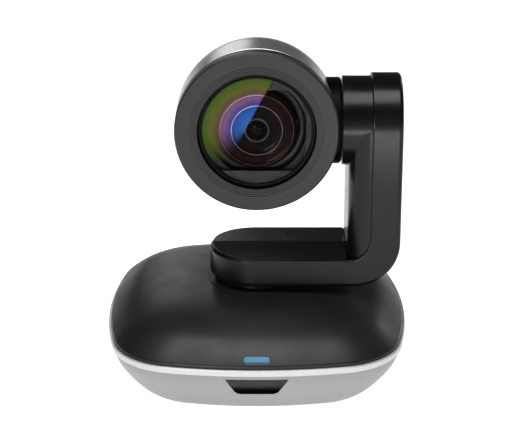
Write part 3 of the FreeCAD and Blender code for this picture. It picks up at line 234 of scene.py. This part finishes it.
def light_pipe():
    """Lit bar: bright over its upper part, with painted shade of its recess as a deep blue strip along
    its front edge.
    """
    s = Shader("led_blue")
    x, y, _ = s.axes()
    low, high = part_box("status_led")
    ends = s.span(s.math("ABSOLUTE", x), 0.45 * high.x, high.x, 0.0, 0.35)
    haze = s.noise(1.4 * MM, 3)
    blue = s.mix(ends, (0.016, 0.185, 0.340), (0.008, 0.110, 0.230))
    blue = s.mix(s.span(haze, 0.3, 0.7, 0.0, 0.25), blue, (0.004, 0.140, 0.300))
    # painted shade: the glow is darkened to deep blue along the front edge, standing in for the shade
    # of the recess
    level = s.span(y, low.y + 0.7 * MM, low.y + 1.2 * MM, smooth=True)
    colour = s.mix(level, (0.002, 0.007, 0.014), blue)
    return s.finish(
        Base_Color=(0.01, 0.02, 0.03), Emission_Color=colour, Emission_Strength=1.0,
        Roughness=s.span(haze, 0.3, 0.7, 0.2, 0.3), Specular_IOR_Level=0.3,
    )


def smoked_window():
    """Infrared window: smoked black, paler along its upper half where the light falls on it."""
    s = Shader("window_black")
    _, _, z = s.axes()
    low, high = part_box("ir_window")
    haze = s.noise(4 * MM, 3)
    level = s.span(z, low.z + 0.30 * (high.z - low.z), low.z + 0.75 * (high.z - low.z), smooth=True)
    colour = s.mix(level, grey(0.0015), s.mix(s.span(haze, 0.3, 0.7), grey(0.038), grey(0.048)))
    gloss = s.span(haze, 0.3, 0.7, 0.18, 0.24)
    return s.finish(Base_Color=colour, Roughness=gloss, Specular_IOR_Level=0.0)


def ridged_bezel():
    """Bezel plastic with a painted highlight: a little paler over its ridged zone inside the outer
    flat, for light on the crests between its grooves.
    """
    s = Shader("bezel_black")
    _, _, radius = from_lens_axis(s)
    cloud = s.noise(12 * MM, 3)
    fine = s.noise(0.35 * MM, 2)
    tone = s.math("ADD", s.math("MULTIPLY", cloud, 0.5), s.math("MULTIPLY", fine, 0.5))
    colour = s.mix(s.span(tone, 0.36, 0.64), grey(0.017), grey(0.024))
    # painted highlight: paler colour inside a radius of 28.7 mm, fading out by 29.1 mm
    crest_highlight = s.span(radius, 28.7 * MM, 29.1 * MM, 1.0, 0.0, smooth=True)
    colour = s.mix(crest_highlight, colour, s.mix(s.span(cloud, 0.3, 0.7), grey(0.022), grey(0.030)))
    s.bump(fine, 0.006 * MM)
    gloss = s.span(cloud, 0.3, 0.7, 0.40, 0.48)
    return s.finish(Base_Color=colour, Roughness=gloss, Specular_IOR_Level=0.3)


# ---------------------------------------------------------------- materials of the CAD nodes

FINISH = {
    "silver_shell": flake_paint("silver_shell", grey(0.23), grey(0.30), 0.44, 0.12),
    "bright_trim": flake_paint("bright_trim", grey(0.52), grey(0.60), 0.34, 0.35),
    "charcoal_cover": moulded("charcoal_cover", grey(0.0075), grey(0.0145), 0.38, 0.4 * MM, 0.010 * MM),
    "window_black": smoked_window(),
    "led_blue": light_pipe(),
    "port_black": moulded("port_black", grey(0.010), grey(0.020), 0.5),
    "socket_steel": metal("socket_steel", grey(0.45), grey(0.62), 0.28, (1, 5, 1)),
    "foot_rubber": moulded("foot_rubber", grey(0.012), grey(0.030), 0.78, 0.6 * MM, 0.03 * MM),
    "thread_brass": metal("thread_brass", (0.46, 0.31, 0.11), (0.66, 0.47, 0.19), 0.28, (1, 1, 8)),
    "ballast_steel": metal("ballast_steel", grey(0.22), grey(0.40), 0.42, (1, 6, 1)),
    "screw_steel": metal("screw_steel", grey(0.18), grey(0.34), 0.30, (1, 1, 4)),
    "board_green": board_green(),
    "chip_black": moulded("chip_black", grey(0.010), grey(0.022), 0.55, 0.3 * MM, 0.01 * MM),
    "frame_metal": metal("frame_metal", grey(0.36), grey(0.52), 0.33, (6, 1, 1)),
    "bearing_steel": metal("bearing_steel", grey(0.50), grey(0.68), 0.18, (1, 1, 6)),
    "motor_steel": metal("motor_steel", grey(0.34), grey(0.50), 0.26, (1, 1, 8)),
    "gear_nylon": moulded(
        "gear_nylon",
        (0.50, 0.48, 0.42),
        (0.62, 0.60, 0.54),
        0.45,
        1.2 * MM,
        0.01 * MM,
    ),
    "arm_black": moulded(
        "arm_black",
        grey(0.0022),
        grey(0.0046),
        0.24,
        0.4 * MM,
        0.004 * MM,
        Specular_IOR_Level=0.26,
    ),
    "arm_cover_black": moulded(
        "arm_cover_black",
        grey(0.0020),
        grey(0.0042),
        0.24,
        0.4 * MM,
        0.004 * MM,
        Specular_IOR_Level=0.26,
    ),
    "hub_black": moulded(
        "hub_black",
        grey(0.0012),
        grey(0.0024),
        0.40,
        0.4 * MM,
        0.006 * MM,
        Specular_IOR_Level=0.05,
    ),
    "head_grey": barrel_paint(),
    "cap_black": moulded("cap_black", grey(0.010), grey(0.018), 0.42),
    "bezel_black": ridged_bezel(),
    "baffle_black": moulded("baffle_black", grey(0.006), grey(0.011), 0.50),
    "carriage_black": moulded("carriage_black", grey(0.010), grey(0.018), 0.5),
    "sensor_glass": moulded(
        "sensor_glass",
        (0.03, 0.05, 0.07),
        (0.08, 0.10, 0.13),
        0.12,
        1.5 * MM,
        0.001 * MM,
    ),
}


def clear_glass():
    """Coated cover glass: clear face on, with a sheen that grows towards grazing angles."""
    s = Shader("front_glass")
    facing = s.node("ShaderNodeLayerWeight")
    facing.inputs["Blend"].default_value = 0.5
    smudge = s.noise(9 * MM, 3)
    sheen = s.span(facing.outputs["Facing"], 0.25, 0.95, 0.0, 0.35, smooth=True)
    sheen = s.math("MULTIPLY", sheen, s.span(smudge, 0.3, 0.7, 0.85, 1.0))
    gloss = s.span(smudge, 0.3, 0.7, 0.03, 0.07)
    return s.finish(Base_Color=grey(0.75, COOL), Metallic=1.0, Roughness=gloss, Alpha=sheen)


def inner_glass():
    s = Shader("lens_glass")
    haze = s.noise(4 * MM, 3)
    colour = s.mix(s.span(haze, 0.3, 0.7), (0.012, 0.018, 0.040), (0.030, 0.034, 0.060))
    return s.finish(Base_Color=colour, Roughness=s.span(haze, 0.3, 0.7, 0.04, 0.08), Coat_Weight=0.6)


FINISH["front_glass"] = clear_glass()
FINISH["lens_glass"] = inner_glass()

node_slot = {part["node"]: part["material_slot"] for part in frame["record"]["subparts"]}
for name, piece in frame["nodes"].items():
    for i in range(len(piece.data.materials)):
        piece.data.materials[i] = FINISH[node_slot[name]]


# ---------------------------------------------------------------- mesh helpers

def mesh_piece(name, bm, material, body, smooth=True):
    bmesh.ops.recalc_face_normals(bm, faces=bm.faces)
    data = bpy.data.meshes.new(name)
    bm.to_mesh(data)
    bm.free()
    piece = bpy.data.objects.new(name, data)
    bpy.context.scene.collection.objects.link(piece)
    data.materials.append(material)
    if smooth:
        for face in data.polygons:
            face.use_smooth = True
    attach(piece, body)
    return piece


def lathe(profile, steps=96, closed=True):
    """Turns (radius, forward) points about the lens axis. Forward is towards the front."""
    bm = bmesh.new()
    rings = []
    for radius, forward in profile:
        if radius < 1e-7:
            rings.append([bm.verts.new((axis_x, -forward, axis_z))])
            continue
        rings.append([
            bm.verts.new((
                axis_x + radius * math.sin(math.tau * i / steps),
                -forward,
                axis_z + radius * math.cos(math.tau * i / steps),
            ))
            for i in range(steps)
        ])
    pairs = list(zip(rings, rings[1:]))
    if closed:
        pairs.append((rings[-1], rings[0]))
    for a, b in pairs:
        for i in range(steps):
            j = (i + 1) % steps
            corners = [a[i % len(a)], a[j % len(a)], b[j % len(b)], b[i % len(b)]]
            unique = list(dict.fromkeys(corners))
            if len(unique) > 2:
                bm.faces.new(unique)
    return bm


# ---------------------------------------------------------------- lens optics

front_at = -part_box("front_lens")[0].y
back_at = -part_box("front_lens")[1].y
glass_at = -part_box("front_glass")[1].y
RIM = 16.95 * MM
RING_A = 15.3 * MM
RING_B = 10.6 * MM
RING_C = 4.9 * MM
PUPIL = 3.3 * MM
VIEW = 23.0 * MM


def ramp(s, value, stops):
    made = s.node("ShaderNodeValToRGB")
    s.feed(made.inputs["Fac"], value)
    marks = made.color_ramp.elements
    while len(marks) < len(stops):
        marks.new(0.5)
    for mark, (place, colour) in zip(marks, stops):
        mark.position = place
        mark.color = (*colour, 1.0)
    return made.outputs["Color"]


# The painted reflection covers one side of the lens: the direction it leans to, where it starts along
# that direction, and how it fades towards its lower end.
LEAN_ACROSS = -0.889
LEAN_UP = 0.459
REFLECTION_START = 3.9 * MM
REFLECTION_FULL = 4.8 * MM
FADE_SLOPE = 0.364
FADE_LOW = -0.5
FADE_HIGH = 0.6


def lens_zone(s):
    """Radius from the lens axis, strength of the painted reflection, and height above the axis."""
    across, up, radius = from_lens_axis(s)
    side = s.math("ADD", s.math("MULTIPLY", across, LEAN_ACROSS), s.math("MULTIPLY", up, LEAN_UP))
    lit = s.span(side, REFLECTION_START, REFLECTION_FULL, smooth=True)
    slant = s.math("SUBTRACT", up, s.math("MULTIPLY", across, FADE_SLOPE))
    turned = s.math("DIVIDE", slant, s.math("MAXIMUM", radius, MM))
    fade = s.span(turned, FADE_LOW, FADE_HIGH, smooth=True)
    return radius, s.math("MULTIPLY", lit, fade), up


def glowing_reflection_paint(name, stops, dim_stops, **values):
    """Lens surfaces glowing with a painted reflection on the reflecting side, and with a dark glowing
    tint elsewhere.
    """
    s = Shader(name)
    radius, lit, _ = lens_zone(s)
    share = s.span(radius, 0.0, VIEW)
    warp = s.noise(6 * MM, 2)
    wander = s.math("ADD", share, s.span(warp, 0.3, 0.7, -0.02, 0.02))
    colour = s.mix(lit, ramp(s, wander, dim_stops), ramp(s, wander, stops))
    return s.finish(
        Base_Color=s.mix(0.9, colour, (0.0, 0.0, 0.0)), Emission_Color=colour, Emission_Strength=1.0,
        Roughness=s.span(warp, 0.3, 0.7, 0.10, 0.15), Specular_IOR_Level=0.03, **values,
    )


# Colours of the painted reflection that the lens surfaces glow with.
GREEN = (0.062, 0.108, 0.020)
OLIVE = (0.110, 0.112, 0.026)
BROWN = (0.105, 0.072, 0.042)
PINK = (0.165, 0.080, 0.180)
PURPLE = (0.060, 0.044, 0.210)
BLUE = (0.018, 0.070, 0.300)
SKY = (0.030, 0.110, 0.370)
MAROON = (0.0085, 0.0032, 0.0030)
BLACK = (0.0030, 0.0028, 0.0030)

# LIT: painted reflection colours by radius; DIM: the dark glowing tint where the painted reflection is
# absent.
LIT = (
    (0.0, BLACK), (0.15, BLACK), (0.24, SKY), (0.42, BLUE), (0.50, PURPLE),
    (0.61, PINK), (0.72, BROWN), (0.83, OLIVE), (0.93, GREEN), (1.0, GREEN),
)
DIM = (
    (0.0, BLACK), (0.22, BLACK), (0.30, (0.0045, 0.0030, 0.0028)),
    (0.42, (0.0070, 0.0036, 0.0034)), (0.62, MAROON), (0.72, BLACK),
)

lens_reflection_paint = glowing_reflection_paint("lens_painted_reflection", LIT, DIM)
STACK_BACK = back_at + 6 * MM
DOME_STEPS = 8
PUPIL_EDGE = front_at - 2.4 * MM
PUPIL_RISE = 1.3 * MM
stack = [
    (RIM, STACK_BACK),
    (RIM, front_at - 2.0 * MM),
    (16.2 * MM, front_at - 0.9 * MM),
    (RING_A + 0.2 * MM, front_at - 0.4 * MM),
    (RING_A, front_at - 0.6 * MM),
    (13.0 * MM, front_at - 0.75 * MM),
    (RING_B + 0.2 * MM, front_at - 0.5 * MM),
    (RING_B, front_at - 0.7 * MM),
    (8.0 * MM, front_at - 1.0 * MM),
    (RING_C + 0.3 * MM, front_at - 0.9 * MM),
    (RING_C - 0.3 * MM, front_at - 1.0 * MM),
    (PUPIL + 0.3 * MM, front_at - 2.2 * MM),
]
for i in range(DOME_STEPS):
    turn = math.pi / 2 * i / DOME_STEPS
    stack.append((PUPIL * math.cos(turn), PUPIL_EDGE + PUPIL_RISE * math.sin(turn)))
stack += [(0.0, PUPIL_EDGE + PUPIL_RISE), (0.0, STACK_BACK)]
objective = mesh_piece("objective_elements", lathe(stack, closed=False), lens_reflection_paint, "head")
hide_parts("front_lens")

FLANGE_OUTER = 20.9 * MM
FLANGE_INNER = 17.2 * MM
flange_profile = [
    (FLANGE_OUTER, back_at + 0.2 * MM),
    (FLANGE_OUTER, back_at + 5 * MM),
    (19.5 * MM, back_at + 5.6 * MM),
    (FLANGE_INNER, back_at + 5.2 * MM),
    (FLANGE_INNER, back_at + 0.2 * MM),
]
mesh_piece("objective_flange", lathe(flange_profile), FINISH["baffle_black"], "head")


def retainer(name, radius, forward, thick, bright, dull):
    """Thin retaining ring that glows with a painted reflection on the reflecting side, and with painted
    light that makes it brighter towards its top.
    """
    s = Shader(name)
    _, lit, up = lens_zone(s)
    turn = s.noise(4 * MM, 2)
    tone = s.mix(s.span(turn, 0.35, 0.65), dull, tuple(1.5 * part for part in dull))
    # painted light: the glow rises from 0.55 at the bottom to 1.15 at the top of the ring
    high = s.span(up, -12 * MM, 14 * MM, 0.55, 1.15)
    strong = s.mix(s.span(turn, 0.35, 0.65), bright, tuple(0.75 * part for part in bright))
    colour = s.mix(lit, tone, strong)
    material = s.finish(
        Base_Color=s.mix(0.8, colour, (0.0, 0.0, 0.0)),
        Emission_Color=s.mix(1.0, colour, high, "MULTIPLY"),
        Emission_Strength=1.0,
        Roughness=s.span(turn, 0.3, 0.7, 0.2, 0.3),
        Specular_IOR_Level=0.05,
    )
    profile = [
        (radius + thick * math.cos(math.tau * i / 12), forward + thick * math.sin(math.tau * i / 12))
        for i in range(12)
    ]
    return mesh_piece(name, lathe(profile, 160), material, "head")


# Each ring glows with a bright painted reflection colour and a dull colour for its other side.
retainer(
    "retainer_outer", RING_A + 0.1 * MM, front_at - 0.35 * MM, 0.22 * MM,
    (0.30, 0.20, 0.24), (0.030, 0.018, 0.016),
)
retainer(
    "retainer_middle", RING_B + 0.1 * MM, front_at - 0.45 * MM, 0.20 * MM,
    (0.36, 0.38, 0.52), (0.085, 0.070, 0.068),
)
retainer(
    "retainer_inner", RING_C, front_at - 0.8 * MM, 0.42 * MM,
    (0.060, 0.110, 0.190), (0.030, 0.034, 0.032),
)


def reflection_film():
    """Film behind the cover glass, glowing with the green outer edge of the painted reflection."""
    s = Shader("glass_painted_reflection")
    radius, lit, _ = lens_zone(s)
    warp = s.noise(6 * MM, 2)
    wander = s.math("ADD", s.span(radius, 0.0, VIEW), s.span(warp, 0.3, 0.7, -0.02, 0.02))
    edge = s.span(radius, VIEW - 0.9 * MM, VIEW - 0.1 * MM, 1.0, 0.55)
    colour = s.mix(1.0, ramp(s, wander, LIT), edge, "MULTIPLY")
    inner = s.span(radius, RING_A + 0.3 * MM, RING_A + 2.2 * MM, 0.0, 0.92, smooth=True)
    return s.finish(
        Base_Color=(0.0, 0.0, 0.0),
        Emission_Color=colour,
        Emission_Strength=1.0,
        Specular_IOR_Level=0.0,
        Roughness=s.span(warp, 0.3, 0.7, 0.1, 0.2), Alpha=s.math("MULTIPLY", lit, inner),
    )


FINE_STEPS = 128
FILM_INNER = RING_A + 0.3 * MM
FILM_OUTER = VIEW + 0.2 * MM
FILM_FRONT = glass_at - 0.10 * MM
FILM_BACK = glass_at - 0.16 * MM
film_profile = [
    (FILM_OUTER, FILM_FRONT), (FILM_INNER, FILM_FRONT),
    (FILM_INNER, FILM_BACK), (FILM_OUTER, FILM_BACK),
]
mesh_piece("glass_painted_reflection", lathe(film_profile, FINE_STEPS), reflection_film(), "head")

mask_black = moulded("border_black", grey(0.0012), grey(0.0022), 0.5, Specular_IOR_Level=0.1)
BORDER_OUTER = 25.2 * MM
BORDER_FRONT = glass_at - 0.05 * MM
BORDER_BACK = glass_at - 0.3 * MM
border_profile = [
    (VIEW, BORDER_FRONT), (BORDER_OUTER, BORDER_FRONT),
    (BORDER_OUTER, BORDER_BACK), (VIEW, BORDER_BACK),
]
mesh_piece("glass_border", lathe(border_profile, FINE_STEPS), mask_black, "head")


# ---------------------------------------------------------------- stage

def studio_floor():
    s = Shader("studio_floor")
    fine = s.noise(60 * MM, 2)
    tone = s.mix(s.span(fine, 0.3, 0.7), grey(0.86), grey(0.88))
    return s.finish(
        Base_Color=tone,
        Roughness=0.9,
        Emission_Color=tone,
        Emission_Strength=0.88,
        Specular_IOR_Level=0.1,
    )


FLOOR_HALF = 6.0

bm = bmesh.new()
bmesh.ops.create_grid(bm, x_segments=8, y_segments=8, size=FLOOR_HALF)
bmesh.ops.translate(bm, vec=(0, 0, cad_box[0][2]), verts=bm.verts)
data = bpy.data.meshes.new("studio_floor")
bm.to_mesh(data)
bm.free()
floor = bpy.data.objects.new("studio_floor", data)
bpy.context.scene.collection.objects.link(floor)
data.materials.append(studio_floor())


def softbox(name, place, target, size, power, colour=(1, 1, 1)):
    light = bpy.data.lights.new(name, "AREA")
    light.shape = "RECTANGLE"
    light.size, light.size_y = size
    light.energy = power
    light.color = colour
    lamp = bpy.data.objects.new(name, light)
    bpy.context.scene.collection.objects.link(lamp)
    lamp.location = place
    lamp.rotation_euler = (Vector(target) - Vector(place)).to_track_quat("-Z", "Y").to_euler()
    lamp.visible_camera = False
    return lamp


middle = Vector((0, 0, 0.07))
softbox("overhead", (-0.05, -0.20, 1.0), middle, (0.8, 0.5), 7.0)
softbox("rear_left", (-0.26, 1.40, 0.46), middle, (0.38, 0.34), 0.9)
softbox("rear_right", (1.10, 1.25, 0.60), (0.05, 0, 0.03), (0.4, 0.3), 1.6)
softbox("key_left", (-0.40, -1.2, 0.20), (-0.03, 0, 0.03), (0.5, 0.3), 6.0)
softbox("card", (0.070, -0.25, 0.049), (0.060, 0, 0.115), (0.06, 0.012), 0.06)

world = bpy.data.worlds.new("studio")
bpy.context.scene.world = world
world.use_nodes = True
sky = world.node_tree.nodes["Background"]
sky.inputs["Color"].default_value = (1, 1, 1, 1)
sky.inputs["Strength"].default_value = 0.06

bpy.context.scene.view_settings.view_transform = "Standard"

LOOK_DOWN = 20.785

shot = bpy.data.cameras.new("camera")
shot.sensor_width = 36.0
shot.lens = 120.33
shot.clip_start = 0.01
camera = bpy.data.objects.new("camera", shot)
bpy.context.scene.collection.objects.link(camera)
camera.location = (0.0003, -0.700, 0.33125)
camera.rotation_euler = (math.radians(90 - LOOK_DOWN), 0, 0)
bpy.context.scene.camera = camera
